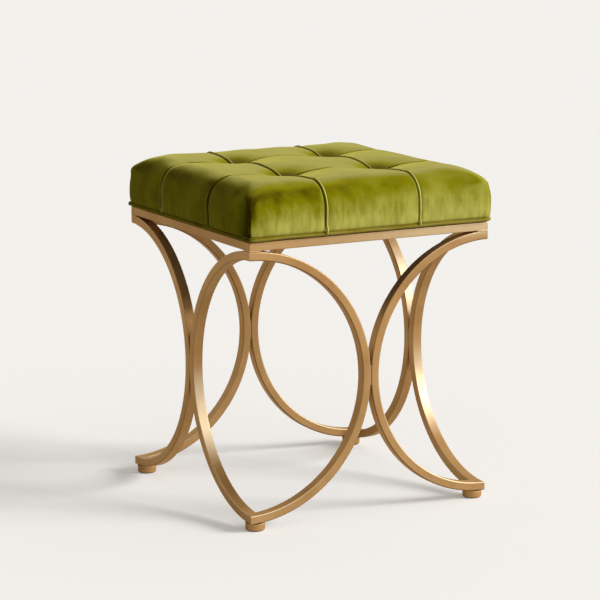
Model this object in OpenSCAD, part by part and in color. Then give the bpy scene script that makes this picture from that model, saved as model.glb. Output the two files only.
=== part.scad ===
// Accent stool: a tufted seat pad on a base of half-circle tubes.
// The front is the -Y side, and the origin is on the floor under the middle of the seat.

/* [Metal base] */
// Outer width and depth of the metal base
frame_w = 388; // [320:1:480]
// Size of the rails and half-circles as seen from their own side
tube_t = 12.7; // [10:0.1:20]
// Depth of the tubes, measured inwards from their own side
tube_d = 16; // [12:0.5:25]
// Wall of the tubes
wall = 1.2; // [0.8:0.1:2.5]
// Rounding along the outer edges of the tubes
edge_r = 1.5; // [0.5:0.1:3]

/* [Welds] */
// Root gap that the weld beads fill
weld_gap = 0.4; // [0.2:0.1:1]
// Height of the bead where two half-circles meet
side_weld_len = 28; // [10:1:50]
// Length of the bead between rail and half-circle, from the corner
corner_weld_len = 18; // [8:1:40]
// How far the ground beads lie below the tube faces
weld_inset = 0.5; // [0.2:0.1:2]

/* [Feet] */
// Height of a foot, from the floor to the lowest point of the tubes
foot_h = 11; // [6:0.5:30]
// Diameter of a foot
foot_dia = 28; // [20:1:40]
// From the two outer faces of the base to a foot's centre
foot_in = 13.5; // [11:0.5:24]
// Rounding of a foot's lower edge
foot_edge_r = 1.5; // [0.5:0.1:3]
// Diameter of the glide under a foot
glide_dia = 24; // [12:1:26]
// Thickness of the glide
glide_t = 2; // [1.5:0.1:4]
// How far the glide stands below the foot
glide_out = 1; // [0.5:0.1:1.4]

/* [Seat fixing] */
// Length of a corner plate along each rail
plate_leg = 48; // [42:1:80]
// Thickness of a corner plate
plate_t = 3; // [2:0.5:6]
// From the inner faces of the rails to the screw
screw_in = 17; // [12:0.5:18]
// Thread diameter of the seat screws
screw_dia = 6; // [4:0.5:8]
// Length of a seat screw under its head
screw_len = 16; // [12:1:18]
// Head diameter of a seat screw
head_dia = 12; // [10:0.5:14]
// Head height of a seat screw
head_h = 3.6; // [2:0.1:5]
// Diameter of a seat screw's washer
washer_dia = 14; // [12.5:0.5:18]
// Thickness of a seat screw's washer
washer_t = 1.2; // [0.8:0.1:2]
// Barrel diameter of a tee nut
nut_dia = 9; // [8.7:0.1:11]
// Barrel length of a tee nut, under its flange
nut_len = 9; // [5:0.5:10]
// Flange diameter of a tee nut
flange_dia = 19; // [14:0.5:24]
// Flange thickness of a tee nut
flange_t = 1.6; // [1:0.1:2.5]

/* [Seat board] */
// Thickness of the plywood board
board_t = 12; // [12:0.5:20]
// How far the board stays inside the base's outer faces
board_in = 3.4; // [2:0.1:12]
// Corner rounding of the board
board_r = 20; // [16:1:30]
// Thickness of the dust cover
dust_t = 0.8; // [0.4:0.1:2]
// How far the dust cover stays inside the base's outer faces
dust_in = 8; // [4:0.5:14]

/* [Cushion] */
// Height from the top of the rails to the crown
cushion_h = 81.5; // [65:0.5:120]
// How far the cushion's sides stand out past the metal base
overhang = 8; // [4:0.5:20]
// How far the sides draw in again at the bottom
draw_in = 6; // [2:0.5:7]
// Radius of the roll from the sides to the top
roll_r = 46; // [30:1:50]
// Corner rounding of the sides, seen from above
corner_r = 14; // [8:1:16]
// Thickness of the velvet cover with its backing
cover_t = 1.5; // [1:0.1:2]
// Thickness of the hem turned under the board
hem_t = 1.2; // [0.8:0.1:2]
// Width of the hem turned under the board
hem_w = 22; // [15:1:26]
// Rise of the middle of the seat above its edges
dome = 2; // [0:0.5:8]
// Diameter of the welt round the bottom
welt_dia = 6; // [4:0.5:8]
// Radius of the welt's corners
welt_r = 12; // [8:1:16]

/* [Tufting] */
// From one tuft to the next, which is also the width of the middle panels
tuft_pitch = 152; // [120:1:170]
// Depth of a tuft below the crown
tuft_depth = 20; // [8:1:30]
// How quickly the top rises away from a tuft
tuft_reach = 23; // [12:1:35]
// Depth of the sewn channels
seam_depth = 3.5; // [1:0.5:6]
// From a channel to where its panel is full
seam_reach = 25; // [16:1:35]
// Diameter of the twine that holds a tuft down
twine_dia = 2; // [1:0.1:3]
// Diameter of the washer that the twine is tied to
tie_washer_dia = 16; // [10:1:30]
// Thickness of the washer that the twine is tied to
tie_washer_t = 1; // [0.5:0.1:1.1]

/* [Clearances] */
// Between a seated piece and the curve that it seats on
seat_gap = 0.3; // [0.1:0.05:0.6]
// Round the shank of a screw in a drilled hole
hole_gap = 0.3; // [0.2:0.1:0.6]
// Between a thread and its nut, drawn as plain cylinders
thread_gap = 0.05; // [0.02:0.01:0.1]

/* [Hidden] */
$fn = 96;

// Heights of the stack, from the floor up
half_w = frame_w / 2;
arc_z = foot_h + seat_gap + half_w;
rail_z = arc_z + half_w + weld_gap;
rail_top = rail_z + tube_t;
hem_z = rail_top + dust_t;
board_z = hem_z + hem_t;
board_top = board_z + board_t;
crown_z = rail_top + cushion_h;

// The centre of each half-circle lies half a root gap outside its corner
arc_x = half_w + weld_gap / 2;

// Half widths, seen from above
board_half = half_w - board_in;
dust_half = half_w - dust_in;
plate_corner = half_w - tube_d;
screw_xy = plate_corner - screw_in;
tuft_xy = tuft_pitch / 2;
foot_xy = half_w - foot_in;

// Colours
gold = [0.74, 0.58, 0.38];
weld_gold = [0.70, 0.54, 0.34];
nylon = [0.16, 0.15, 0.14];
zinc = [0.72, 0.73, 0.75];
plywood = [0.80, 0.66, 0.45];
black_cloth = [0.10, 0.10, 0.11];
foam_yellow = [0.93, 0.88, 0.68];
velvet = [0.48, 0.48, 0.10];
velvet_edge = [0.42, 0.42, 0.08];
twine = [0.88, 0.86, 0.78];

// A rectangle with round corners, made of squares and true circles
module rounded_rect(w, h, r) {
    translate([r, 0]) square([w - 2 * r, h]);
    translate([0, r]) square([w, h - 2 * r]);
    for (x = [r, w - r], y = [r, h - r])
        translate([x, y]) circle(r);
}

// The tube's wall, along x and y from its outer corner
module tube_section(w, h) {
    difference() {
        rounded_rect(w, h, edge_r);
        translate([wall, wall]) square([w - 2 * wall, h - 2 * wall]);
    }
}

// Everything between the two mitre planes of the front side
module front_wedge() {
    translate([0, 0, -1])
        linear_extrude(crown_z)
            polygon([[-half_w, -half_w], [half_w, -half_w],
                [half_w - tube_d, tube_d - half_w], [tube_d - half_w, tube_d - half_w]]);
}

module rail(quarter) {
    color(gold)
        rotate([0, 0, 90 * quarter])
            intersection() {
                translate([-half_w, -half_w, rail_z])
                    rotate([90, 0, 90])
                        linear_extrude(frame_w) tube_section(tube_d, tube_t);
                front_wedge();
            }
}

// The left half-circle of the front side, from the top corner round to the bottom corner
module left_arc() {
    intersection() {
        translate([-arc_x, tube_d - half_w, arc_z])
            rotate([90, 0, 0])
                rotate([0, 0, -90])
                    rotate_extrude(angle = 180, $fn = 180)
                        translate([half_w - tube_t, 0]) tube_section(tube_t, tube_d);
        front_wedge();
    }
}

module arc(quarter, mirrored) {
    color(gold)
        rotate([0, 0, 90 * quarter])
            if (mirrored)
                mirror([1, 0, 0]) left_arc();
            else
                left_arc();
}

// The round outside of the left half-circle, as a solid to cut with
module arc_outside(extra, past_inside, past_outside) {
    translate([-arc_x, tube_d - half_w + past_inside, arc_z])
        rotate([90, 0, 0])
            cylinder(r = half_w + extra, h = tube_d + past_inside + past_outside, $fn = 720);
}

// Beads between the two half-circles of each side
module side_welds() {
    bead_w = tube_t / 3;
    color(weld_gold)
        for (quarter = [0:3])
            rotate([0, 0, 90 * quarter])
                difference() {
                    translate([-bead_w / 2, weld_inset - half_w, arc_z - side_weld_len / 2])
                        cube([bead_w, tube_d - 2 * weld_inset, side_weld_len]);
                    arc_outside(thread_gap, 1, 1);
                    mirror([1, 0, 0]) arc_outside(thread_gap, 1, 1);
                }
}

// Beads between each rail and the top of its half-circles
module corner_welds() {
    color(weld_gold)
        for (quarter = [0:3], side = [0, 1])
            rotate([0, 0, 90 * quarter])
                mirror([side, 0, 0])
                    intersection() {
                        difference() {
                            translate([weld_inset - half_w, weld_inset - half_w, rail_z - tube_t / 2])
                                cube([corner_weld_len, tube_d - 2 * weld_inset, tube_t / 2]);
                            arc_outside(thread_gap, 1, 1);
                        }
                        front_wedge();
                    }
}

// A foot under the front left corner, coped to the two half-circles that stand on it
module front_left_foot() {
    rise = foot_dia / 4;
    difference() {
        translate([-foot_xy, -foot_xy, 0])
            difference() {
                rotate_extrude()
                    intersection() {
                        translate([-foot_dia / 2, glide_out])
                            rounded_rect(foot_dia, foot_h + 2 * rise, foot_edge_r);
                        translate([0, glide_out])
                            square([foot_dia, foot_h + rise - glide_out]);
                    }
                translate([0, 0, -1])
                    cylinder(d = glide_dia + 2 * thread_gap, h = glide_t + 1);
            }
        arc_outside(seat_gap, seat_gap, foot_dia);
        mirror([1, -1, 0]) arc_outside(seat_gap, seat_gap, foot_dia);
        translate([seat_gap - plate_corner, seat_gap - plate_corner, foot_h])
            cube(foot_dia);
    }
}

module foot(quarter) {
    color(gold) rotate([0, 0, 90 * quarter]) front_left_foot();
}

module glide(quarter) {
    color(nylon)
        rotate([0, 0, 90 * quarter])
            translate([-foot_xy, -foot_xy, 0])
                cylinder(d = glide_dia, h = glide_t);
}

module corner_plate(quarter) {
    color(gold)
        rotate([0, 0, 90 * quarter])
            difference() {
                translate([-plate_corner, -plate_corner, rail_top - plate_t])
                    linear_extrude(plate_t)
                        polygon([[0, 0], [plate_leg, 0], [plate_leg, plate_t],
                            [plate_t, plate_leg], [0, plate_leg]]);
                translate([-screw_xy, -screw_xy, rail_top - plate_t - 1])
                    cylinder(d = screw_dia + 2 * hole_gap, h = plate_t + 2);
            }
}

// Puts one copy at each seat screw
module at_screws() {
    for (x = [-1, 1], y = [-1, 1])
        translate([x * screw_xy, y * screw_xy, 0]) children();
}

// Puts one copy at each tuft
module at_tufts() {
    for (x = [-1, 1], y = [-1, 1])
        translate([x * tuft_xy, y * tuft_xy, 0]) children();
}

module seat_screws() {
    under_head = rail_top - plate_t - washer_t;
    color(zinc)
        at_screws() {
            translate([0, 0, under_head]) cylinder(d = screw_dia, h = screw_len);
            translate([0, 0, under_head - head_h])
                difference() {
                    cylinder(d = head_dia, h = head_h);
                    translate([0, 0, -1])
                        cylinder(d = head_dia / 3, h = head_h / 2 + 1, $fn = 6);
                }
        }
}

module seat_washers() {
    color(zinc)
        at_screws()
            translate([0, 0, rail_top - plate_t - washer_t])
                difference() {
                    cylinder(d = washer_dia, h = washer_t);
                    translate([0, 0, -1])
                        cylinder(d = screw_dia + 2 * hole_gap, h = washer_t + 2);
                }
}

module tee_nuts() {
    color(zinc)
        at_screws()
            translate([0, 0, board_top - flange_t - nut_len])
                difference() {
                    union() {
                        cylinder(d = nut_dia, h = nut_len + flange_t);
                        translate([0, 0, nut_len]) cylinder(d = flange_dia, h = flange_t);
                    }
                    translate([0, 0, -1])
                        cylinder(d = screw_dia + 2 * thread_gap, h = nut_len + flange_t + 2);
                }
}

module seat_board() {
    color(plywood)
        difference() {
            translate([-board_half, -board_half, board_z])
                linear_extrude(board_t)
                    rounded_rect(2 * board_half, 2 * board_half, board_r);
            at_screws() {
                translate([0, 0, board_z - 1])
                    cylinder(d = nut_dia + 2 * hole_gap, h = board_t + 2);
                translate([0, 0, board_top - flange_t])
                    cylinder(d = flange_dia + 2 * hole_gap, h = flange_t + 1);
            }
            at_tufts()
                translate([0, 0, board_z - 1])
                    cylinder(d = 2 * twine_dia, h = board_t + 2);
        }
}

module dust_cover() {
    color(black_cloth)
        difference() {
            translate([-dust_half, -dust_half, rail_top])
                cube([2 * dust_half, 2 * dust_half, dust_t]);
            at_screws()
                translate([0, 0, rail_top - 1])
                    cylinder(d = screw_dia + 2 * hole_gap, h = dust_t + 2);
        }
}

// The cushion's skin is one grid over the top, with rings of points that run on down the sides.
// Each skin is drawn at a depth under the velvet: 0 for the velvet's own outside.
side_half = half_w + overhang;
top_half = side_half - roll_r;
roll_z = crown_z - dome - roll_r;
band_half = board_half + seat_gap + cover_t;
welt_line = half_w + welt_dia / 2 - 1.2;
welt_z = rail_top + seat_gap + welt_dia / 2;
band_z = welt_z + welt_dia / 2 - 0.8;
wall_z = welt_z + welt_dia / 2 + 0.8;

// Grid lines of one axis, from the left edge to the right, close together beside each channel
groove = seam_reach * 0.36;
outer_lines = [top_half, top_half - corner_r, (top_half - corner_r + tuft_xy + groove) / 2];
near_lines = [tuft_xy + groove, tuft_xy, tuft_xy - groove, (tuft_xy - groove) / 2];
half_lines = concat(outer_lines, near_lines);
n_half = len(half_lines);
lines = concat([for (v = half_lines) -v], [0], [for (i = [n_half - 1:-1:0]) half_lines[i]]);
m = len(lines) - 1;

// How full the panels are at a distance along one axis: 0 on a channel, 1 in a panel
function fullness(v) = sin(90 * min(1, abs(abs(v) - tuft_xy) / seam_reach));

// How far the top lies under the crown
function tuft_drop(x, y) =
    let (r = norm([abs(x) - tuft_xy, abs(y) - tuft_xy]), far = tuft_xy * sqrt(2))
    max(0, tuft_depth * (exp(-r / tuft_reach) - exp(-far / tuft_reach)));
function seam_drop(x, y) = seam_depth * (1 - min(fullness(x), fullness(y)));
function dome_drop(x, y) = dome * (1 - (1 - pow(x / top_half, 2)) * (1 - pow(y / top_half, 2)));
function top_z(x, y) = crown_z - tuft_drop(x, y) - seam_drop(x, y) - dome_drop(x, y);

// Place along a side of grid line i, on a ring of the given half width and corner rounding
function along(i, half, r) =
    let (v = abs(lines[i]), inner = tuft_xy + groove, s = sign(lines[i]))
    v <= inner ? lines[i]
    : i == 0 || i == m ? s * (half - r * (1 - sqrt(0.5)))
    : i == 1 || i == m - 1 ? s * (half - r)
    : s * (inner + half - r) / 2;

function turned(p, quarter) =
    quarter == 0 ? p
    : quarter == 1 ? [-p[1], p[0], p[2]]
    : quarter == 2 ? [-p[0], -p[1], p[2]]
    : [p[1], -p[0], p[2]];

// A ring: [half width, height, corner rounding, channel depth outwards, channel depth upwards]
function ring(g) = [for (quarter = [0:3], i = [0:m - 1])
    let (cut = 1 - fullness(along(i, g[0], g[2])),
        back = i == 0 ? g[2] * (1 - sqrt(0.5)) : cut * g[3])
    turned([along(i, g[0], g[2]), back - g[0], g[1] - cut * g[4]], quarter)];

function wall_ring(depth, f) =
    [side_half - depth - draw_in * (1 - f), wall_z + depth + (roll_z - wall_z - depth) * f,
        corner_r, seam_depth * f, 0];
function roll_ring(depth, a) =
    [top_half + (roll_r - depth) * cos(a), roll_z + (roll_r - depth) * sin(a),
        corner_r + roll_r * (1 - cos(a)) / 2, seam_depth * cos(a), seam_depth * sin(a)];
function top_grid(depth) = [for (j = [0:m], i = [0:m])
    [lines[i], lines[j], top_z(lines[i], lines[j]) - depth]];

// Corner numbers of the grid's rim, in the order of a ring that starts at the front left
function rim(i) =
    let (quarter = floor(i / m), k = i % m)
    quarter == 0 ? k
    : quarter == 1 ? m + k * (m + 1)
    : quarter == 2 ? m * (m + 1) + m - k
    : (m - k) * (m + 1);

// Two triangles for each field between two rows of corner numbers
function band_faces(low, high) = [for (i = [0:4 * m - 1])
    let (k = (i + 1) % (4 * m))
    each [[low[i], high[i], high[k]], [low[i], high[k], low[k]]]];
function grid_faces(first) = [for (j = [0:m - 1], i = [0:m - 1])
    let (a = first + j * (m + 1) + i, b = a + m + 1)
    each [[a, a + 1 + m + 1, a + 1], [a, b, b + 1]]];
function numbers(first) = [for (i = [0:4 * m - 1]) first + i];
function rim_numbers(first) = [for (i = [0:4 * m - 1]) first + rim(i)];
function flipped(faces) = [for (f = faces) [f[2], f[1], f[0]]];

// All faces of a skin of n rings and its top grid, whose first point is given
function skin_faces(first, n) = concat(
    [for (k = [0:n - 2])
        each band_faces(numbers(first + 4 * m * k), numbers(first + 4 * m * (k + 1)))],
    band_faces(numbers(first + 4 * m * (n - 1)), rim_numbers(first + 4 * m * n)),
    grid_faces(first + 4 * m * n));
function points_of(rings, depth) = concat([for (g = rings) each ring(g)], top_grid(depth));

// The velvet: a bag whose mouth is the hem turned under the board
module cushion_cover() {
    hem_half = board_half - hem_w;
    steps = [0, 30, 60];
    outside = concat(
        [[hem_half, hem_z, corner_r, 0, 0], [band_half, hem_z, corner_r, 0, 0],
            [band_half, band_z, corner_r, 0, 0], wall_ring(0, 0)],
        [for (a = steps) roll_ring(0, a)]);
    inside = concat(
        [[hem_half, board_z, corner_r, 0, 0], [band_half - cover_t, board_z, corner_r, 0, 0],
            [band_half - cover_t, band_z + cover_t, corner_r, 0, 0], wall_ring(cover_t, 0)],
        [for (a = steps) roll_ring(cover_t, a)]);
    n = len(outside);
    outer_points = points_of(outside, 0);
    first_inner = len(outer_points);
    color(velvet)
        polyhedron(
            points = concat(outer_points, points_of(inside, cover_t)),
            faces = concat(skin_faces(0, n), flipped(skin_faces(first_inner, n)),
                flipped(band_faces(numbers(0), numbers(first_inner)))),
            convexity = 8);
}

// The foam fills the cover above the board, with a hole for each twine
module foam_pad() {
    depth = cover_t + seat_gap;
    base_z = board_top + seat_gap;
    low = (base_z - wall_z - depth) / (roll_z - wall_z - depth);
    rings = concat([wall_ring(depth, low)], [for (a = [0, 30, 60]) roll_ring(depth, a)]);
    points = points_of(rings, depth);
    middle = len(points);
    color(foam_yellow)
        difference() {
            polyhedron(
                points = concat(points, [[0, 0, base_z]]),
                faces = concat(skin_faces(0, len(rings)),
                    [for (i = [0:4 * m - 1]) [(i + 1) % (4 * m), middle, i]]),
                convexity = 8);
            at_tufts()
                translate([0, 0, base_z - 1])
                    cylinder(d = 2 * twine_dia, h = cushion_h);
        }
}

// The welt: a sewn cord round the bottom of the cover
module welt() {
    straight = 2 * (welt_line - welt_r);
    color(velvet_edge)
        for (quarter = [0:3])
            rotate([0, 0, 90 * quarter])
                translate([-straight / 2, -welt_line, welt_z]) {
                    rotate([0, 90, 0]) cylinder(d = welt_dia, h = straight);
                    translate([0, welt_r, 0])
                        rotate([0, 0, 180])
                            rotate_extrude(angle = 90)
                                translate([welt_r, 0]) circle(d = welt_dia);
                }
}

module tuft_ties() {
    low = board_z - tie_washer_t;
    high = top_z(tuft_xy, tuft_xy) - cover_t - seat_gap;
    color(twine)
        at_tufts()
            translate([0, 0, low]) cylinder(d = twine_dia, h = high - low);
}

module tie_washers() {
    color(zinc)
        at_tufts()
            translate([0, 0, board_z - tie_washer_t])
                difference() {
                    cylinder(d = tie_washer_dia, h = tie_washer_t);
                    translate([0, 0, -1])
                        cylinder(d = twine_dia + 2 * thread_gap, h = tie_washer_t + 2);
                }
}

rail(0);  // rail_front
rail(1);  // rail_right
rail(2);  // rail_back
rail(3);  // rail_left
arc(0, false);  // arc_front_left
arc(0, true);  // arc_front_right
arc(1, false);  // arc_right_front
arc(1, true);  // arc_right_back
arc(2, false);  // arc_back_right
arc(2, true);  // arc_back_left
arc(3, false);  // arc_left_back
arc(3, true);  // arc_left_front
side_welds();
corner_welds();
foot(0);  // foot_front_left
foot(1);  // foot_front_right
foot(2);  // foot_back_right
foot(3);  // foot_back_left
glide(0);  // glide_front_left
glide(1);  // glide_front_right
glide(2);  // glide_back_right
glide(3);  // glide_back_left
corner_plate(0);  // corner_plate_front_left
corner_plate(1);  // corner_plate_front_right
corner_plate(2);  // corner_plate_back_right
corner_plate(3);  // corner_plate_back_left
seat_screws();
seat_washers();
tee_nuts();
seat_board();
dust_cover();
foam_pad();
cushion_cover();
welt();
tuft_ties();
tie_washers();
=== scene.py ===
# %% [markdown]
# # A tufted accent stool, dressed for a photograph
# The stool is a thick velvet seat pad on a welded base of half-circle metal tubes. The rigid
# parts were drawn in CAD and arrive here already in place, in metres, with the floor at z = 0
# and the front towards -Y. This lesson gives them their finishes and builds the soft parts,
# which CAD can only hint at: the cushion, the piping in its channels, its folded corners, the
# welt round its edge and the cloth under the seat.

# %% Load the rigid parts
import math

import bmesh
import bpy
import numpy as np
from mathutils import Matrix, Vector


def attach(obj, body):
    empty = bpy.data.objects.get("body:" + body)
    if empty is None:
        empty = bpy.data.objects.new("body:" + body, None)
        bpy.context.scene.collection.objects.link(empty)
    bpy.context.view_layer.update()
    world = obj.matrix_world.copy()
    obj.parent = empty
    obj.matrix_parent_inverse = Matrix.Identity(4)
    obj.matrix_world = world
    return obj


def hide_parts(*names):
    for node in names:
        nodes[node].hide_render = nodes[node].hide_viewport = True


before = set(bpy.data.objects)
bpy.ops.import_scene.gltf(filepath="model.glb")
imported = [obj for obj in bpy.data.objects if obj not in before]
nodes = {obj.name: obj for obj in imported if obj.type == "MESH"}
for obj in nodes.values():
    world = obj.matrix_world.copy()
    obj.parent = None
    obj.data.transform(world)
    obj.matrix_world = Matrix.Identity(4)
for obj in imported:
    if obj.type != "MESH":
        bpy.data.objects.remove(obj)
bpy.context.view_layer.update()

scene = bpy.context.scene
MM = 0.001

# %% [markdown]
# ## Small helpers for modelling by hand
# Every operator works on what is selected, and the CAD parts come in selected. So each step
# begins by letting go of everything and taking hold of one piece only. Inside edit mode, the
# edges or faces for the next operator are picked by where they lie.

# %% Take hold of one piece
def hold(piece):
    bpy.ops.object.select_all(action="DESELECT")
    piece.select_set(True)
    bpy.context.view_layer.objects.active = piece
    return piece


def named(name):
    """The piece that an operator just made, under its own name."""
    piece = bpy.context.view_layer.objects.active
    piece.name = piece.data.name = name
    return piece


# %% Pick edges or faces by their place
def pick(piece, kind, wanted):
    bpy.ops.mesh.select_mode(type=kind)
    bpy.ops.mesh.select_all(action="DESELECT")
    mesh = bmesh.from_edit_mesh(piece.data)
    for element in mesh.edges if kind == "EDGE" else mesh.faces:
        if wanted(element):
            element.select_set(True)
    bmesh.update_edit_mesh(piece.data)


# %% Read and write all points of a piece at once
def points(piece):
    flat = np.zeros(len(piece.data.vertices) * 3)
    piece.data.vertices.foreach_get("co", flat)
    return flat.reshape(-1, 3)


def move_points(piece, places):
    piece.data.vertices.foreach_set("co", np.asarray(places).ravel())
    piece.data.update()


def normals(piece):
    flat = np.zeros(len(piece.data.vertices) * 3)
    piece.data.vertex_normals.foreach_get("vector", flat)
    return flat.reshape(-1, 3)


# %% [markdown]
# ## Camera
# The base has straight rails, right-angled corners and true half-circles, so the photograph's
# viewpoint can be worked out from them: a long lens from a little above the seat, looking at
# the front left corner. The small roll levels the picture the way the photograph stands.

# %% Camera
EYE = Vector((-1.68854, -3.09404, 0.96169))
AIM = Vector((0.034153, 0.081397, 0.265354))
ROLL = math.radians(-0.12)
LENS = 144.81
SENSOR = 36.0

bpy.ops.object.camera_add(location=EYE)
camera = bpy.context.object
camera.name = "camera"
camera.rotation_euler = (AIM - EYE).to_track_quat("-Z", "Y").to_euler()
camera.rotation_euler.rotate_axis("Z", ROLL)
camera.data.lens = LENS
camera.data.sensor_width = SENSOR
camera.data.sensor_fit = "HORIZONTAL"
camera.data.clip_end = 200
scene.camera = camera
print("camera", tuple(round(v, 3) for v in camera.location))

# %% [markdown]
# ## Light
# The shadows on the floor run almost straight to the left and are long, so the key light
# stands to the right of the camera and low, 26 degrees up. They are crisp at the feet and melt
# away further out, which is what a broad lamp does. A sun lamp with a wide disc gives that
# light with the same strength everywhere, so that the floor stays even. The world adds the
# soft light that fills the shadows.

# %% Key light and world
TO_LIGHT = Vector((0.741, -0.509, 0.438))
KEY = 3.8
KEY_DISC = math.radians(24)
KEY_TONE = (1.0, 0.985, 0.96)
LAMP_AWAY = 3
FILL = 0.47
FILL_LEAN = 0.50
FILL_TONE = (1, 0.94, 0.86, 1)
PAPER = (0.896, 0.880, 0.847, 1)

bpy.ops.object.light_add(type="SUN", location=TO_LIGHT * LAMP_AWAY)
key = bpy.context.object
key.name = "key_light"
key.rotation_euler = TO_LIGHT.to_track_quat("Z", "Y").to_euler()
key.data.energy = KEY
key.data.angle = KEY_DISC
key.data.color = KEY_TONE
print("key light", KEY, "from", tuple(TO_LIGHT))

# %% What the camera sees and what lights the object
def seen_apart(tree, seen, unseen):
    """Camera, glossy and transmission rays meet one shader, all other rays another."""
    rays = tree.nodes.new("ShaderNodeLightPath")
    mix = tree.nodes.new("ShaderNodeMixShader")
    looking = rays.outputs["Is Camera Ray"]
    for kind in ("Is Glossy Ray", "Is Transmission Ray"):
        either = tree.nodes.new("ShaderNodeMath")
        either.operation = "MAXIMUM"
        tree.links.new(looking, either.inputs[0])
        tree.links.new(rays.outputs[kind], either.inputs[1])
        looking = either.outputs[0]
    tree.links.new(looking, mix.inputs["Fac"])
    tree.links.new(unseen.outputs[0], mix.inputs[1])
    tree.links.new(seen.outputs[0], mix.inputs[2])
    return mix.outputs[0]


def plain_shader(tree, kind, colour):
    node = tree.nodes.new(kind)
    node.inputs["Color"].default_value = colour
    return node


# %% World: brighter on the side of the lamp
world = bpy.data.worlds.new("studio")
scene.world = world
world.use_nodes = True
tree = world.node_tree
tree.nodes.clear()
out = tree.nodes.new("ShaderNodeOutputWorld")
fill = plain_shader(tree, "ShaderNodeBackground", FILL_TONE)
towards = tree.nodes.new("ShaderNodeTexCoord")
lampward = tree.nodes.new("ShaderNodeVectorMath")
lampward.operation = "DOT_PRODUCT"
lampward.inputs[1].default_value = (TO_LIGHT.x, TO_LIGHT.y, 0)
slope = tree.nodes.new("ShaderNodeMath")
slope.operation = "MULTIPLY_ADD"
slope.inputs[1].default_value = FILL_LEAN
slope.inputs[2].default_value = FILL
tree.links.new(towards.outputs["Generated"], lampward.inputs[0])
tree.links.new(lampward.outputs["Value"], slope.inputs[0])
tree.links.new(slope.outputs[0], fill.inputs["Strength"])
backdrop = plain_shader(tree, "ShaderNodeBackground", PAPER)
tree.links.new(seen_apart(tree, backdrop, fill), out.inputs["Surface"])
scene.view_settings.view_transform = "Standard"
print("world", FILL, "and up to", FILL_LEAN, "more towards the lamp")

# %% [markdown]
# ## Floor
# The photograph's floor runs into its background without a line. So both have one paper tone,
# which the camera, gloss and glass see. The floor is mixed from a matt surface, which catches
# the stool's shadow, and a share of glow, which keeps that shadow pale. Rays that light the
# stool meet a darker floor instead, so that its underside stays in shade.

# %% Floor
FLOOR_SIDE = 90
FLOOR_PAPER = (0.900, 0.908, 0.924, 1)
BOUNCE = (0.36, 0.345, 0.32, 1)
SHADOW_LIFT = 0.27
bpy.ops.mesh.primitive_plane_add(size=FLOOR_SIDE, location=(0, 0, 0))
floor = named("studio_floor")
paper = bpy.data.materials.new("floor_paper")
paper.use_nodes = True
tree = paper.node_tree
tree.nodes.clear()
out = tree.nodes.new("ShaderNodeOutputMaterial")
lit = plain_shader(tree, "ShaderNodeBsdfDiffuse", FLOOR_PAPER)
glow = plain_shader(tree, "ShaderNodeEmission", PAPER)
shown = tree.nodes.new("ShaderNodeMixShader")
shown.inputs["Fac"].default_value = SHADOW_LIFT
tree.links.new(lit.outputs[0], shown.inputs[1])
tree.links.new(glow.outputs[0], shown.inputs[2])
bounced = plain_shader(tree, "ShaderNodeBsdfDiffuse", BOUNCE)
tree.links.new(seen_apart(tree, shown, bounced), out.inputs["Surface"])
floor.data.materials.append(paper)
print("floor:", FLOOR_SIDE, "m wide")

# %% [markdown]
# ## Shared surface effects
# Two effects come back in several finishes, so each is built once as a node group with named
# inputs. One is a cloudy tone that drifts over centimetres. With a finer scale the same group
# gives the grain for the bump. The other is a mask of the edges, where hands and cloths rub a
# finish lighter. It compares the true normal with the softened one of a Bevel node. It also
# tells how far an edge turns up and to the right, towards the lamp, which the metal uses for a
# painted highlight there and painted shade on edges turned away. All patterns read Object
# coordinates. The pieces stand at the origin unturned, so the patterns are in real metres and
# stay put.

# %% A place to build node groups
def new_group(name, inputs, outputs):
    group = bpy.data.node_groups.new(name, "ShaderNodeTree")
    for label, kind, value in inputs:
        socket = group.interface.new_socket(label, in_out="INPUT", socket_type=kind)
        if value is not None:
            socket.default_value = value
    for label, kind in outputs:
        group.interface.new_socket(label, in_out="OUTPUT", socket_type=kind)
    start = group.nodes.new("NodeGroupInput")
    end = group.nodes.new("NodeGroupOutput")
    return group, start, end


FLOAT = "NodeSocketFloat"
VECTOR = "NodeSocketVector"

# %% Cloudy tone
clouds, start, end = new_group(
    "cloudy_tone",
    [("Vector", VECTOR, None), ("Scale", FLOAT, 20), ("Detail", FLOAT, 3),
     ("From", FLOAT, 0.35), ("To", FLOAT, 0.65)],
    [("Mask", FLOAT)])
noise = clouds.nodes.new("ShaderNodeTexNoise")
spread = clouds.nodes.new("ShaderNodeMapRange")
spread.interpolation_type = "SMOOTHSTEP"
clouds.links.new(start.outputs["Vector"], noise.inputs["Vector"])
clouds.links.new(start.outputs["Scale"], noise.inputs["Scale"])
clouds.links.new(start.outputs["Detail"], noise.inputs["Detail"])
clouds.links.new(noise.outputs["Fac"], spread.inputs["Value"])
clouds.links.new(start.outputs["From"], spread.inputs["From Min"])
clouds.links.new(start.outputs["To"], spread.inputs["From Max"])
clouds.links.new(spread.outputs["Result"], end.inputs["Mask"])

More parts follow.
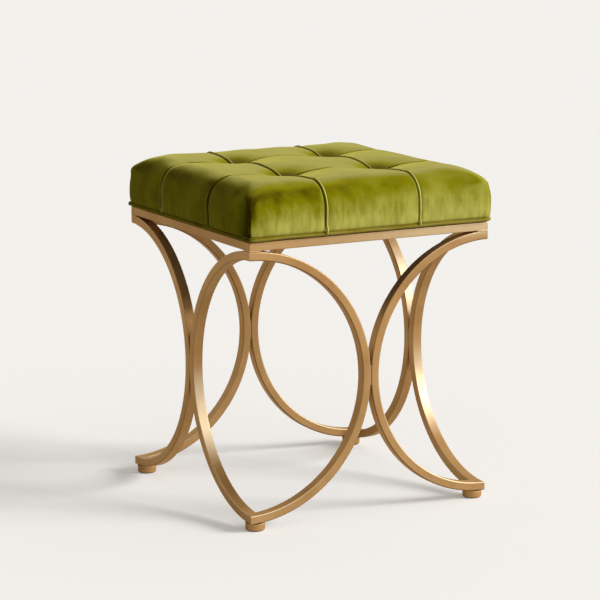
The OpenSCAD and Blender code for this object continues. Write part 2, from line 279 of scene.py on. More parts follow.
# %% Edges that get rubbed, and how far they turn to the lamp for painted light
UP_AND_RIGHT = (0.45, -0.2, 0.87)
edges_rubbed_or_lit, start, end = new_group(
    "rubbed_and_lit_edges",
    [("Reach", FLOAT, 0.001), ("Sharpness", FLOAT, 6)],
    [("Mask", FLOAT), ("Upward", FLOAT), ("Normal", VECTOR)])
rounded = edges_rubbed_or_lit.nodes.new("ShaderNodeBevel")
rounded.samples = 6
unrounded = edges_rubbed_or_lit.nodes.new("ShaderNodeNewGeometry")
turn = edges_rubbed_or_lit.nodes.new("ShaderNodeVectorMath")
turn.operation = "DOT_PRODUCT"
less = edges_rubbed_or_lit.nodes.new("ShaderNodeMath")
less.operation = "SUBTRACT"
less.inputs[0].default_value = 1
much = edges_rubbed_or_lit.nodes.new("ShaderNodeMath")
much.operation = "MULTIPLY"
much.use_clamp = True
edges_rubbed_or_lit.links.new(start.outputs["Reach"], rounded.inputs["Radius"])
edges_rubbed_or_lit.links.new(rounded.outputs["Normal"], turn.inputs[0])
edges_rubbed_or_lit.links.new(unrounded.outputs["Normal"], turn.inputs[1])
edges_rubbed_or_lit.links.new(rounded.outputs["Normal"], end.inputs["Normal"])
# how far an edge turns up and to the right, or else down and to the left; the metal uses this for
# painted highlight and painted shade
away = edges_rubbed_or_lit.nodes.new("ShaderNodeVectorMath")
away.operation = "SUBTRACT"
upward = edges_rubbed_or_lit.nodes.new("ShaderNodeVectorMath")
upward.operation = "DOT_PRODUCT"
upward.inputs[1].default_value = UP_AND_RIGHT
edges_rubbed_or_lit.links.new(rounded.outputs["Normal"], away.inputs[0])
edges_rubbed_or_lit.links.new(unrounded.outputs["Normal"], away.inputs[1])
edges_rubbed_or_lit.links.new(away.outputs["Vector"], upward.inputs[0])
edges_rubbed_or_lit.links.new(upward.outputs["Value"], end.inputs["Upward"])
edges_rubbed_or_lit.links.new(turn.outputs["Value"], less.inputs[1])
edges_rubbed_or_lit.links.new(less.outputs[0], much.inputs[0])
edges_rubbed_or_lit.links.new(start.outputs["Sharpness"], much.inputs[1])
edges_rubbed_or_lit.links.new(much.outputs[0], end.inputs["Mask"])
print("node groups:", clouds.name, edges_rubbed_or_lit.name)

# %% [markdown]
# ## Small helpers for finishes
# A finish is a chain of nodes that ends in the Principled shader. Each helper adds one node
# and returns its output, so that a finish can be read from top to bottom like a recipe. A
# value that is already a socket is linked, and a plain number or colour is typed in.

# %% Start a finish
def new_material(name):
    material = bpy.data.materials.new(name)
    material.use_nodes = True
    tree = material.node_tree
    shader = tree.nodes["Principled BSDF"]
    where = tree.nodes.new("ShaderNodeTexCoord")
    return material, tree, shader, where.outputs["Object"]


def feed(tree, socket, value):
    """Link a value that is a socket, or type in a number or colour."""
    if isinstance(value, bpy.types.NodeSocket):
        tree.links.new(value, socket)
    else:
        socket.default_value = value


def put_group(tree, group, whole=False, **values):
    node = tree.nodes.new("ShaderNodeGroup")
    node.node_tree = group
    for label, value in values.items():
        feed(tree, node.inputs[label], value)
    return node if whole else node.outputs[0]


# %% Numbers and colours
def math_node(tree, operation, first, second=0.0, clamp=False):
    node = tree.nodes.new("ShaderNodeMath")
    node.operation = operation
    node.use_clamp = clamp
    feed(tree, node.inputs[0], first)
    feed(tree, node.inputs[1], second)
    return node.outputs[0]


def mix_colours(tree, mask, low, high):
    node = tree.nodes.new("ShaderNodeMix")
    node.data_type = "RGBA"
    for place, value in ((0, mask), (6, low), (7, high)):
        feed(tree, node.inputs[place], value)
    return node.outputs[2]


def map_range(tree, value, from_low, from_high, to_low=0.0, to_high=1.0):
    """A smooth step from one number to another, between two values."""
    node = tree.nodes.new("ShaderNodeMapRange")
    node.interpolation_type = "SMOOTHSTEP"
    tree.links.new(value, node.inputs["Value"])
    for label, number in (("From Min", from_low), ("From Max", from_high),
                          ("To Min", to_low), ("To Max", to_high)):
        node.inputs[label].default_value = number
    return node.outputs["Result"]


# %% Directions and relief
def stretched(tree, vector, scale):
    """The same coordinates, stretched along some axes."""
    node = tree.nodes.new("ShaderNodeVectorMath")
    node.operation = "MULTIPLY"
    tree.links.new(vector, node.inputs[0])
    node.inputs[1].default_value = scale
    return node.outputs["Vector"]


def split_up(tree, vector):
    """The three numbers of a place or a direction."""
    node = tree.nodes.new("ShaderNodeSeparateXYZ")
    tree.links.new(vector, node.inputs[0])
    return node.outputs


def facing(tree, normal, direction):
    """How squarely a surface looks in a direction: 1 is straight at it."""
    node = tree.nodes.new("ShaderNodeVectorMath")
    node.operation = "DOT_PRODUCT"
    node.inputs[1].default_value = direction
    tree.links.new(normal, node.inputs[0])
    return node.outputs["Value"]


def skin_of(tree):
    """The normal of the surface itself."""
    return tree.nodes.new("ShaderNodeNewGeometry").outputs["Normal"]


def bump(tree, shader, height, distance, skin=None):
    node = tree.nodes.new("ShaderNodeBump")
    node.inputs["Distance"].default_value = distance
    if skin:
        tree.links.new(skin, node.inputs["Normal"])
    tree.links.new(height, node.inputs["Height"])
    tree.links.new(node.outputs["Normal"], shader.inputs["Normal"])


# %% [markdown]
# ## Satin champagne metal
# The base is painted or plated in a satin champagne gold. Up close such a finish is a little
# cloudy, with fine grain from the spray. Its edges that turn up towards the lamp are painted
# paler, a painted highlight, and those that turn away browner, a painted shade. It is less
# mirror-like than bare brass, so part of it stays a plain colour.
#
# The half-circle tubes come in as short flat facets, which would break a highlight into
# dashes. Their true form is simple, a ring of square section, so a node group works out from
# the coordinates which way the metal looks. That gives one long, even stroke of light. The
# tubes of the two sides run along Y, so they use the same group with x and y changed over.

# %% The even rounding of a half-circle tube
ARC_X = 194.2 * MM
ARC_Z = 205.3 * MM
ARC_R = 194 * MM
TUBE_T = 12.7 * MM
TUBE_MID = 186 * MM
TUBE_HALF = 8 * MM
EDGE_R = 1.5 * MM
SOFT_EDGE = 2.3 * MM

arc_form, start, end = new_group(
    "arc_form", [("Vector", VECTOR, None)], [("Normal", VECTOR), ("Turned", FLOAT)])
wide, deep, high = split_up(arc_form, start.outputs["Vector"])


def sums(operation, first, second=0.0):
    return math_node(arc_form, operation, first, second)


inward = sums("SUBTRACT", ARC_X, sums("ABSOLUTE", wide))
drop = sums("SUBTRACT", high, ARC_Z)
reach = sums("SQRT", sums("ADD", sums("MULTIPLY", inward, inward), sums("MULTIPLY", drop, drop)))

# %% The direction in which its faces and rounded edges look
outer = sums("MAXIMUM", sums("SUBTRACT", reach, ARC_R - EDGE_R), 0)
inner = sums("MAXIMUM", sums("SUBTRACT", ARC_R - TUBE_T + EDGE_R, reach), 0)
radial = sums("DIVIDE", sums("SUBTRACT", outer, inner), reach)
past_mid = sums("SUBTRACT", sums("ABSOLUTE", deep), TUBE_MID)
level = sums("MAXIMUM", sums("SUBTRACT", sums("ABSOLUTE", past_mid), TUBE_HALF - EDGE_R), 0)
outwards = sums("MULTIPLY", sums("SIGN", deep), sums("SIGN", past_mid))
rounding = arc_form.nodes.new("ShaderNodeCombineXYZ")
sideways = sums("MULTIPLY", sums("MULTIPLY", sums("SIGN", wide), -1), inward)
arc_form.links.new(sums("MULTIPLY", sideways, radial), rounding.inputs[0])
arc_form.links.new(sums("MULTIPLY", outwards, level), rounding.inputs[1])
arc_form.links.new(sums("MULTIPLY", drop, radial), rounding.inputs[2])
unit = arc_form.nodes.new("ShaderNodeVectorMath")
unit.operation = "NORMALIZE"
arc_form.links.new(rounding.outputs[0], unit.inputs[0])
arc_form.links.new(unit.outputs[0], end.inputs["Normal"])

# %% How far an edge turns up and to the right (above 0), or down and to the left: the mask for painted highlight and painted shade on the edges
rim = sums("SUBTRACT", map_range(arc_form, reach, ARC_R - SOFT_EDGE, ARC_R - EDGE_R / 2),
           map_range(arc_form, reach, ARC_R - TUBE_T + SOFT_EDGE, ARC_R - TUBE_T + EDGE_R / 2))
rim = sums("MULTIPLY", rim, map_range(arc_form, sums("ABSOLUTE", past_mid),
                                      TUBE_HALF - SOFT_EDGE, TUBE_HALF - EDGE_R / 2))
turned = sums("ADD", sums("MULTIPLY", sideways, UP_AND_RIGHT[0]),
              sums("MULTIPLY", drop, UP_AND_RIGHT[2]))
turned = sums("MULTIPLY", rim, sums("DIVIDE", turned, reach))
arc_form.links.new(turned, end.inputs["Turned"])
print("node group:", arc_form.name, "with", len(arc_form.nodes), "nodes")

# %% [markdown]
# ## The tones of the metal
# One function builds three finishes: for straight pieces, and for the half-circles of the
# front and of the sides. Its tones are laid over one another: cloudy gold, then a paler band
# along the rails, stronger to the right towards the lamp, which is a painted highlight, a
# painted highlight on the edges that turn up to the lamp, and painted shade in brown on the
# edges and faces that turn away. Last comes a painted highlight stroke, where a half-circle
# looks halfway between the lamp and the front left, which is mostly on the side tubes. Gloss
# under one soft lamp shines too yellow there, and a paler metal painted underneath turns it
# cream.

# %% Tones of the metal
GOLD_DEEP = (0.385, 0.210, 0.076, 1)
GOLD_PALE = (0.475, 0.277, 0.110, 1)
# painted shade, for edges and faces turned away from the lamp
GOLD_PAINTED_SHADE = (0.150, 0.056, 0.012, 1)
# painted highlight, for the rails and for the edges turned to the lamp
GOLD_HIGHLIGHT = (0.620, 0.470, 0.270, 1)
GOLD_GLOSS = (0.90, 0.70, 0.46, 1)
# painted highlight, where the side tubes look halfway between the lamp and the front left
GOLD_PAINTED_HIGHLIGHT = (0.620, 0.500, 0.335, 1)
# the way a face must look to send the lamp's light to the front left
HALFWAY = (0.178, -0.895, 0.409)
# the ends of the stool from left to right, and the heights between which a tone comes in
LEFT, RIGHT = -0.2, 0.2
RAIL_BAND = (0.386, 0.403)
PAINTED_HIGHLIGHT_BELOW = (0.24, 0.20)
GRAIN_HEIGHT = 0.000005

# %% The edges of a metal piece
def swapped(tree, vector):
    """The same vector with x and y changed over."""
    parts = split_up(tree, vector)
    whole = tree.nodes.new("ShaderNodeCombineXYZ")
    for source, target in ((0, 1), (1, 0), (2, 2)):
        tree.links.new(parts[source], whole.inputs[target])
    return whole.outputs[0]


def metal_edges(tree, here, side):
    """How far the edges turn to the lamp, and the rounded normal."""
    if side is None:
        edges = put_group(tree, edges_rubbed_or_lit, whole=True, Reach=0.0014, Sharpness=1.6)
        return edges.outputs["Upward"], edges.outputs["Normal"]
    if side == "front":
        edges = put_group(tree, arc_form, whole=True, Vector=here)
        return edges.outputs["Turned"], edges.outputs["Normal"]
    edges = put_group(tree, arc_form, whole=True, Vector=swapped(tree, here))
    return edges.outputs["Turned"], swapped(tree, edges.outputs["Normal"])


# %% The painted highlight stroke: low down on the left, at any height on the right
def painted_highlight_stroke(tree, form, x, z):
    towards = map_range(tree, facing(tree, form, HALFWAY), 0.88, 0.98)
    share = map_range(tree, x, LEFT, RIGHT, 0.90, 0.74)
    where = math_node(tree, "MAXIMUM", map_range(tree, z, *PAINTED_HIGHLIGHT_BELOW),
                      map_range(tree, x, 0.0, 0.1))
    return math_node(tree, "MULTIPLY", math_node(tree, "MULTIPLY", towards, share), where)


# %% Satin champagne metal
def metal_material(name, side=None):
    material, tree, shader, here = new_material(name)
    x, _, z = split_up(tree, here)
    skin_x, skin_y, _ = split_up(tree, skin_of(tree))
    turned, form = metal_edges(tree, here, side)
    tone = put_group(tree, clouds, Vector=here, Scale=14.0, Detail=3.0, From=0.3, To=0.7)
    colour = mix_colours(tree, tone, GOLD_DEEP, GOLD_PALE)
    # painted highlight: paler along the rails' upright faces, and more so to the right, towards
    # the lamp
    high = map_range(tree, z, *RAIL_BAND)
    upright = map_range(tree, math_node(tree, "ABSOLUTE", skin_y), 0.3, 0.8)
    rightward = map_range(tree, x, LEFT, RIGHT, 0.12, 0.92)
    rail_highlight = math_node(tree, "MULTIPLY", math_node(tree, "MULTIPLY", high, upright), rightward)
    # painted highlight on the edges that turn up and to the right, towards the lamp
    lit_edge = math_node(tree, "MULTIPLY", turned, 0.7, clamp=True)
    colour = mix_colours(tree, math_node(tree, "MAXIMUM", rail_highlight, lit_edge), colour, GOLD_HIGHLIGHT)
    # painted shade: browner in the edges and faces that turn away from the lamp
    shaded_edge = math_node(tree, "MULTIPLY", turned, -0.3 if side == "side" else -0.8, clamp=True)
    away = map_range(tree, skin_x, -0.3, -0.9, 0, 0.03 if side else 0.18)
    colour = mix_colours(tree, math_node(tree, "MAXIMUM", shaded_edge, away), colour, GOLD_PAINTED_SHADE)
    # painted highlight on the half-circles, where they look halfway between the lamp and the front
    # left
    if side:
        colour = mix_colours(tree, painted_highlight_stroke(tree, form, x, z), colour, GOLD_PAINTED_HIGHLIGHT)
    tree.links.new(colour, shader.inputs["Base Color"])
    haze = put_group(tree, clouds, Vector=here, Scale=90.0, Detail=4.0, From=0.3, To=0.7)
    worn = math_node(tree, "MULTIPLY", lit_edge, 0.25)
    tree.links.new(math_node(tree, "ADD", map_range(tree, haze, 0, 1, 0.34, 0.40), worn),
                   shader.inputs["Roughness"])
    shader.inputs["Metallic"].default_value = 0.62
    shader.inputs["Specular IOR Level"].default_value = 0.12
    shader.inputs["Specular Tint"].default_value = GOLD_GLOSS
    grain = put_group(tree, clouds, Vector=here, Scale=600.0, Detail=2.0, From=0.2, To=0.8)
    bump(tree, shader, grain, GRAIN_HEIGHT, form)
    return material


# %% Give the metal to the base
satin_gold = metal_material("satin_champagne")
front_gold = metal_material("satin_champagne_front_arcs", "front")
side_gold = metal_material("satin_champagne_side_arcs", "side")


def dress(piece, finish):
    """Give a piece one finish in place of what it came with."""
    piece.data.materials.clear()
    piece.data.materials.append(finish)


for name, node in nodes.items():
    if name.startswith(("arc_front", "arc_back")):
        dress(node, front_gold)
    elif name.startswith("arc"):
        dress(node, side_gold)
    elif name.startswith(("rail", "foot", "corner_plate")) or name.endswith("welds"):
        dress(node, satin_gold)
print("metal on", sum(n.data.materials[0] in (satin_gold, front_gold, side_gold)
                      for n in nodes.values() if n.data.materials), "pieces")

# %% [markdown]
# ## Ground corner welds
# At each corner the rail and the two half-circles are welded and the bead is ground flush, so
# that no line shows there. Each bead is a thin strip bent round the corner. It is modelled
# once, as a cube stretched along the front and extruded along the left side, and copied.

# %% The first ground weld
STRIP_LONG = 17 * MM
STRIP_HIGH = 2.4 * MM
STRIP_PROUD = 0.04 * MM
STRIP_DEEP = 0.7 * MM
STRIP_LOWER = 0.2 * MM
rail_bottom = nodes["rail_front"].bound_box[0][2]
base_half = -nodes["rail_front"].bound_box[0][0]
edge_at = -base_half - STRIP_PROUD
bpy.ops.object.select_all(action="DESELECT")
bpy.ops.mesh.primitive_cube_add(size=1, location=(
    edge_at + STRIP_LONG / 2, edge_at + STRIP_DEEP / 2, rail_bottom - STRIP_LOWER))
bpy.ops.transform.resize(value=(STRIP_LONG, STRIP_DEEP, STRIP_HIGH))
first_weld = named("ground_weld_1")
bpy.ops.object.transform_apply(location=True, rotation=True, scale=True)
bpy.ops.object.mode_set(mode="EDIT")
bpy.ops.mesh.select_all(action="SELECT")
bpy.ops.mesh.bisect(plane_co=(edge_at + STRIP_DEEP, 0, 0), plane_no=(1, 0, 0))
pick(first_weld, "FACE", lambda face: face.normal.y > 0.9
     and face.calc_center_median().x < edge_at + STRIP_DEEP)
bpy.ops.mesh.extrude_region_move(
    TRANSFORM_OT_translate={"value": (0, STRIP_LONG - STRIP_DEEP, 0)})
bpy.ops.object.mode_set(mode="OBJECT")
first_weld.data.materials.append(satin_gold)
print("first weld:", len(first_weld.data.polygons), "faces, under", round(rail_bottom, 4), "m")

# %% Three copies, each a quarter turn further
welds = [first_weld]
for turn in (1, 2, 3):
    copy = first_weld.copy()
    copy.data = first_weld.data.copy()
    copy.name = copy.data.name = f"ground_weld_{turn + 1}"
    scene.collection.objects.link(copy)
    quarter = math.radians(90 * turn)
    spin = np.array([[math.cos(quarter), math.sin(quarter)],
                     [-math.sin(quarter), math.cos(quarter)]])
    places = points(copy)
    places[:, :2] = places[:, :2] @ spin
    move_points(copy, places)
    welds.append(copy)
for weld in welds:
    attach(weld, "root")
print("ground welds:", len(welds))

# %% [markdown]
# ## Small hard parts
# The glides are dark nylon buttons, the screws, washers and tee nuts are zinc plated, the seat
# board is birch plywood and the tufts are tied down with twine. Most of them only show from
# below or when the stool is taken apart, so each gets a short recipe of its own: two tones
# mixed by a cloud or a pattern, a roughness, and for most of them a little relief.

# %% Nylon of the glides
NYLON_DARK = (0.018, 0.015, 0.013, 1)
NYLON_WORN = (0.032, 0.028, 0.025, 1)
glide_skin, tree, shader, here = new_material("glide_nylon")
tone = put_group(tree, clouds, Vector=here, Scale=120.0, Detail=3.0, From=0.3, To=0.7)
tree.links.new(mix_colours(tree, tone, NYLON_DARK, NYLON_WORN), shader.inputs["Base Color"])
tree.links.new(map_range(tree, tone, 0, 1, 0.5, 0.7), shader.inputs["Roughness"])
bump(tree, shader, put_group(tree, clouds, Vector=here, Scale=1500.0), 0.00005)

# %% Zinc plate, brighter where the edges are rubbed
ZINC_DULL = (0.42, 0.43, 0.45, 1)
ZINC_CLEAR = (0.58, 0.59, 0.60, 1)
ZINC_RUBBED = (0.72, 0.73, 0.74, 1)
zinc, tree, shader, here = new_material("zinc_plate")
tone = put_group(tree, clouds, Vector=here, Scale=260.0, Detail=4.0, From=0.3, To=0.7)
edge = put_group(tree, edges_rubbed_or_lit, Reach=0.0006, Sharpness=3.0)
colour = mix_colours(tree, tone, ZINC_DULL, ZINC_CLEAR)
colour = mix_colours(tree, edge, colour, ZINC_RUBBED)
tree.links.new(colour, shader.inputs["Base Color"])
tree.links.new(map_range(tree, tone, 0, 1, 0.28, 0.45), shader.inputs["Roughness"])
shader.inputs["Metallic"].default_value = 1.0

# %% Plywood: long fibres, and darker layers that show at its edge
PLY = 1.7 * MM
PLY_PALE = (0.68, 0.51, 0.30, 1)
PLY_BROWN = (0.50, 0.34, 0.18, 1)
PLY_END_GRAIN = (0.36, 0.22, 0.11, 1)
ply, tree, shader, here = new_material("plywood")
height = split_up(tree, here)[2]
layer = math_node(tree, "FRACT", math_node(tree, "DIVIDE", height, 2 * PLY))
layer = map_range(tree, math_node(tree, "PINGPONG", layer, 0.5), 0.2, 0.3)
fibres = put_group(tree, clouds, Vector=stretched(tree, here, (1, 14, 14)), Scale=28.0,
                   Detail=6.0, From=0.3, To=0.7)
colour = mix_colours(tree, fibres, PLY_BROWN, PLY_PALE)
colour = mix_colours(tree, math_node(tree, "MULTIPLY", layer, 0.5), colour, PLY_END_GRAIN)
tree.links.new(colour, shader.inputs["Base Color"])
shader.inputs["Roughness"].default_value = 0.75
bump(tree, shader, fibres, 0.0002)

# %% Twine: strands that wind round
TWINE_DARK = (0.42, 0.38, 0.30, 1)
TWINE_PALE = (0.72, 0.68, 0.58, 1)
twine_skin, tree, shader, here = new_material("twine")
x, _, z = split_up(tree, here)
twist = math_node(tree, "ADD", math_node(tree, "MULTIPLY", z, 900.0),
                  math_node(tree, "MULTIPLY", x, 1500.0))
twist = map_range(tree, math_node(tree, "SINE", twist), -1, 1)
tree.links.new(mix_colours(tree, twist, TWINE_DARK, TWINE_PALE), shader.inputs["Base Color"])
shader.inputs["Roughness"].default_value = 0.8
bump(tree, shader, twist, 0.0003)

# %% Give the finishes to the small hard parts
SMALL_PARTS = (("glide", glide_skin), ("seat_screws", zinc), ("seat_washers", zinc),
               ("tee_nuts", zinc), ("tie_washers", zinc), ("seat_board", ply),
               ("tuft_ties", twine_skin))
for start_of_name, finish in SMALL_PARTS:
    dressed = [node for name, node in nodes.items() if name.startswith(start_of_name)]
    for node in dressed:
        dress(node, finish)
    print(finish.name, "on", len(dressed), start_of_name)

# %% [markdown]
# ## Velvet
# Velvet is a pile of upright fibres. Seen along the fibres it looks deep and dark, and seen
# across them, near the outline or on top where the eye skims over it, it shines pale. The
# shader's sheen does a part of that by itself. The rest is painted sheen and painted shade in
# the colour. A number called nap, 0 for deep and 1 for pale, goes through a colour ramp; beside
# a cloudy tone of the pile it carries that painted light. It is low where a face looks towards
# the front left and up, a painted sheen fixed to that one direction, and where it turns to the
# left, out of the light, which is painted shade. It is high on the lower half of the walls, a
# painted sheen of the lamp on the pile, with soft upright streaks and patches left by brushing.
# Above that half the front grows darker to the left, painted shade again. The level top gets a
# paler and greyer tone of its own, which is painted sheen.
#
# The hollows behind the tufts, in the folded corners and in the grooves of the left wall lie in
# shade, and that shade is painted. The cushion carries a number per point for it, kept as an
# attribute, which is worked out where its folds and tufts are modelled. Below zero it stands for
# a painted highlight, which looks pale.

# %% Tones of the velvet
PILE_TONES = [(0.0, (0.054, 0.040, 0.0004, 1)), (0.35, (0.172, 0.163, 0.0020, 1)),
              (0.65, (0.262, 0.252, 0.0300, 1)), (1.0, (0.400, 0.385, 0.0800, 1))]
# the piping's ramp ends paler: a painted highlight on the raised cord
CORD_HIGHLIGHT_TONES = PILE_TONES[:-1] + [(1.0, (0.530, 0.520, 0.125, 1))]
# the welt's tones are darker and warmer: painted shade, as it lies in shade under the pad
WELT_SHADE_TONES = [(place, (0.87 * r, 0.74 * g, b, 1)) for place, (r, g, b, _) in PILE_TONES]
# painted sheen: the paler, greyer tone of the level top, and of painted highlights
PILE_PAINTED_SHEEN = (0.300, 0.277, 0.132, 1)
SHEEN_TONE = (0.60, 0.55, 0.085, 1)
# painted sheen: faces looking this way, to the front left and up, get the deep tone
DEEPEST_FACING = (-0.46, -0.57, 0.68)
# faces looking this way get the painted sheen of the level top
TOP_SHEEN_FACING = (0.15, 0.35, 0.92)
LOWER_HALF = (0.455, 0.425)
STREAKED_BELOW = (0.474, 0.448)


# %% Streaks and patches on the walls, with painted sheen and painted shade
def brushed_and_lit_walls(tree, here, normal):
    """How much paler (or, below 0, darker) the walls are: brushed streaks and patches, painted
    sheen on the lower half, and painted shade to the left above it.
    """
    x, _, z = split_up(tree, here)
    skin_x, _, skin_z = split_up(tree, normal)
    # none of it reaches the walls that face left, away from the lamp, so that they get no painted
    # sheen
    wall = math_node(tree, "MULTIPLY", map_range(tree, skin_x, -0.8, -0.2),
                     map_range(tree, skin_z, 0.9, 0.7))
    low = map_range(tree, z, *LOWER_HALF)
    upright = put_group(tree, clouds, Vector=stretched(tree, here, (1, 1, 0.24)),
                        Scale=105.0, Detail=6.0, From=0.32, To=0.68)
    streaks = math_node(tree, "MULTIPLY", map_range(tree, upright, 0, 1, -0.10, 0.10),
                        map_range(tree, z, *STREAKED_BELOW))
    patches = put_group(tree, clouds, Vector=stretched(tree, here, (1, 1, 0.6)),
                        Scale=52.0, Detail=5.0, From=0.34, To=0.66)
    streaks = math_node(tree, "ADD", streaks, map_range(tree, patches, 0, 1, -0.05, 0.05))
    # painted sheen of the lamp on the pile: the lower half of the walls is paler
    streaks = math_node(tree, "ADD", streaks, math_node(tree, "MULTIPLY", low, 0.27))
    # painted shade: above the lower half the front is darker to the left, away from the lamp
    across = math_node(tree, "MULTIPLY", math_node(tree, "SUBTRACT", 1, low),
                       map_range(tree, x, -0.2, 0.12, -0.28, 0.03))
    return math_node(tree, "MULTIPLY", math_node(tree, "ADD", streaks, across), wall)


# %% The colour ramp from deep to pale
def tone_ramp(tree, nap_and_painted_light, tones):
    ramp = tree.nodes.new("ShaderNodeValToRGB")
    for place, tone in tones[1:-1]:
        ramp.color_ramp.elements.new(place)
    for stop, (place, tone) in zip(ramp.color_ramp.elements, tones):
        stop.position, stop.color = place, tone
    tree.links.new(nap_and_painted_light, ramp.inputs["Fac"])
    return ramp.outputs["Color"]


# %% Velvet
def velvet_material(name, tones, streaks=False, takes_painted_shade=False, glancing_nap=0.70, facing_nap=0.34,
                    turned_left=-0.40, turned_right=0.0):
    material, tree, shader, here = new_material(name)
    normal = skin_of(tree)
    skin_x = split_up(tree, normal)[0]
    # painted sheen: deep where a face looks towards the front left and up, paler where it glances
    # away
    painted_sheen = map_range(tree, facing(tree, normal, DEEPEST_FACING), 0.68, 0.92, glancing_nap, facing_nap)
    # painted shade where a face turns to the left, away from the lamp, and painted darker where it
    # turns right to the lamp
    leftward = map_range(tree, skin_x, -0.20, -0.82, 0, turned_left)
    rightward = map_range(tree, skin_x, 0.55, 0.90, 0, turned_right)
    cloud = put_group(tree, clouds, Vector=here, Scale=20.0, Detail=5.0, From=0.3, To=0.7)
    nap_and_painted_light = math_node(tree, "ADD", math_node(tree, "ADD", painted_sheen, leftward),
                    map_range(tree, cloud, 0, 1, -0.08, 0.08))
    nap_and_painted_light = math_node(tree, "ADD", nap_and_painted_light, rightward)
    if streaks:
        nap_and_painted_light = math_node(tree, "ADD", nap_and_painted_light, brushed_and_lit_walls(tree, here, normal))
    # painted sheen: the level top is mixed towards a paler, greyer tone; painted highlights below
    # zero do the same
    level = map_range(tree, facing(tree, normal, TOP_SHEEN_FACING), 0.66, 0.86, 0, 0.58)
    if takes_painted_shade:
        # painted shade from a number kept on the points; below zero it is a painted highlight
        mark = tree.nodes.new("ShaderNodeAttribute")
        mark.attribute_name = "painted_shade"
        painted_shade = mark.outputs["Fac"]
        nap_and_painted_light = math_node(tree, "ADD", nap_and_painted_light, math_node(tree, "MULTIPLY", painted_shade, -0.60))
        upright = math_node(tree, "SUBTRACT", 1, math_node(tree, "MULTIPLY", painted_shade, 2.2), True)
        level = math_node(tree, "MULTIPLY", level, upright)
        level = math_node(tree, "MAXIMUM", level,
                          math_node(tree, "MULTIPLY", painted_shade, -2.0, True))
    tree.links.new(mix_colours(tree, level, tone_ramp(tree, nap_and_painted_light, tones), PILE_PAINTED_SHEEN),
                   shader.inputs["Base Color"])
    shader.inputs["Roughness"].default_value = 0.85
    shader.inputs["Specular IOR Level"].default_value = 0.0
    shader.inputs["Sheen Weight"].default_value = 0.7
    shader.inputs["Sheen Roughness"].default_value = 0.4
    shader.inputs["Sheen Tint"].default_value = SHEEN_TONE
    pile = put_group(tree, clouds, Vector=here, Scale=1400.0, Detail=2.0, From=0.2, To=0.8)
    bump(tree, shader, pile, 0.00012)
    return material


# %% Three velvets: the panels, the welt with painted shade, as it lies in shade below them, and the raised piping with a painted highlight
velvet = velvet_material("olive_velvet", PILE_TONES, streaks=True, takes_painted_shade=True)
welt_velvet = velvet_material("olive_velvet_welt", WELT_SHADE_TONES)
# the piping stands proud; its ramp ends paler, a painted highlight, and it is painted darker where
# it turns to the lamp on the right
cord_velvet = velvet_material("olive_velvet_cord", CORD_HIGHLIGHT_TONES, takes_painted_shade=True, glancing_nap=0.98,
                              facing_nap=0.88, turned_left=-0.25, turned_right=-0.38)
print("velvets:", velvet.name, welt_velvet.name, cord_velvet.name)

# %% [markdown]
# ## The cushion's cover
# A biscuit-tufted cover is sewn from nine panels, and its channels run straight across the
# seat and down the sides. The pad could be a subdivided cube, but then its grid would not lie
# along the channels. So it starts as a grid over the top whose lines fall exactly on them.
# Its edge is then extruded ring by ring down over the roll and the side wall, as a cover
# hangs over foam.

# %% Sizes of the cushion
CHANNEL = 76 * MM
TOP_HALF = 156 * MM
CELL = 4 * MM
ROLL_R = 46 * MM
SIDE_HALF = TOP_HALF + ROLL_R
CROWN_Z = 493.9 * MM
DOME = 2 * MM
ROLL_Z = CROWN_Z - DOME - ROLL_R
WALL_Z = 419.5 * MM
HEM_Z = 413.2 * MM
DRAW_IN = 2.5 * MM
BAND_HALF = 192.4 * MM
BAND_Z = 417.6 * MM
CORNER_R = 13 * MM
RIM_EXTRA_R = 9 * MM
ROLL_SQUARE = 2 / 2.25
ROLL_STEPS = 18
WALL_STEPS = 7

# %% Rings of the side, from the roll down to the hem
# each ring: its half width, its height and the radius of its corners
rings = []
for step in range(1, ROLL_STEPS + 1):
    a = math.radians(90 - 90 / ROLL_STEPS * step)
    rings.append((TOP_HALF + ROLL_R * math.cos(a) ** ROLL_SQUARE,
                  ROLL_Z + ROLL_R * math.sin(a) ** ROLL_SQUARE,
                  CORNER_R + RIM_EXTRA_R * (1 - math.cos(a))))
for step in range(1, WALL_STEPS + 1):
    f = step / WALL_STEPS
    rings.append((SIDE_HALF - DRAW_IN * f ** 2, ROLL_Z + (WALL_Z - ROLL_Z) * f, CORNER_R))
rings.append((BAND_HALF, BAND_Z, CORNER_R))
rings.append((BAND_HALF, HEM_Z, CORNER_R))
print("rings down the side:", len(rings))

# %% Grid over the top, extruded down the sides
bpy.ops.object.select_all(action="DESELECT")
cells = round(2 * TOP_HALF / CELL)
bpy.ops.mesh.primitive_grid_add(x_subdivisions=cells, y_subdivisions=cells, size=2 * TOP_HALF,
                                location=(0, 0, CROWN_Z - DOME))
cushion = named("velvet_cushion")
bpy.ops.object.transform_apply(location=True, rotation=True, scale=True)
bpy.ops.object.mode_set(mode="EDIT")
pick(cushion, "EDGE", lambda edge: edge.is_boundary)
half, z = TOP_HALF, CROWN_Z - DOME
for next_half, next_z, corner in rings:
    bpy.ops.mesh.extrude_region_move(TRANSFORM_OT_translate={"value": (0, 0, next_z - z)})
    grow = next_half / half
    bpy.ops.transform.resize(value=(grow, grow, 1), center_override=(0, 0, 0))
    half, z = next_half, next_z
bpy.ops.mesh.edge_face_add()
bpy.ops.object.mode_set(mode="OBJECT")
print("cover:", len(cushion.data.vertices), "points,", len(cushion.data.polygons), "faces")

# %% [markdown]
# ## Round the corners and sink the channels
# The extruded rings are still square. Each point is moved along its ring so that the channels
# stay straight and the corners become round, more so on the roll than on the wall, because
# foam is softest there. Then the channels and the four tufts are drawn down into the pad.

# %% Which ring each point belongs to
ROUNDS_FROM = 90 * MM


